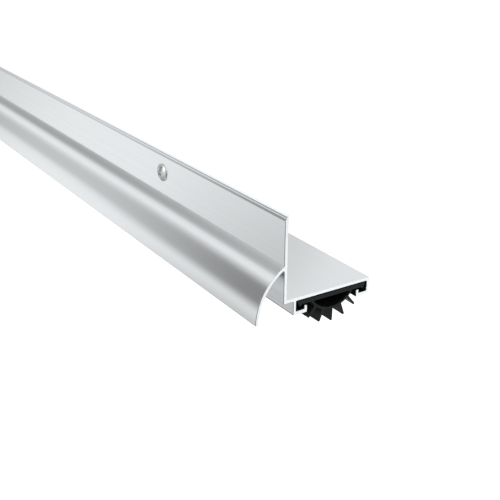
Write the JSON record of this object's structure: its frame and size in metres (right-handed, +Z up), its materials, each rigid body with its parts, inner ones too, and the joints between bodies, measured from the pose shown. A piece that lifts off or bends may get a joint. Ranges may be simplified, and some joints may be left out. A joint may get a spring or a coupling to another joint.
{
  "type": "door shoe",
  "caption": "L-shaped aluminium door shoe that wraps a door's lower front corner, with a curved drip cap and a slide-in finned vinyl sweep, held by pan head screws.",
  "frame": {"origin": "inner corner of the L at mid-length, where the door's outer face meets its bottom edge", "axes": "+X along the door, +Y into the door from its outer face, +Z up"},
  "size_m": [0.9144, 0.0456, 0.0409],
  "materials": {
    "satin_aluminium": "mill finish, satin, clear anodised",
    "black_vinyl": "extruded flexible vinyl, satin black",
    "screw_steel": "bright zinc plated"
  },
  "bodies": {
    "root": {"shoe_extrusion": "satin_aluminium", "vinyl_sweep": "black_vinyl", "fixing_screw_1": "screw_steel", "fixing_screw_2": "screw_steel", "fixing_screw_3": "screw_steel", "fixing_screw_4": "screw_steel"}
  },
  "joints": []
}
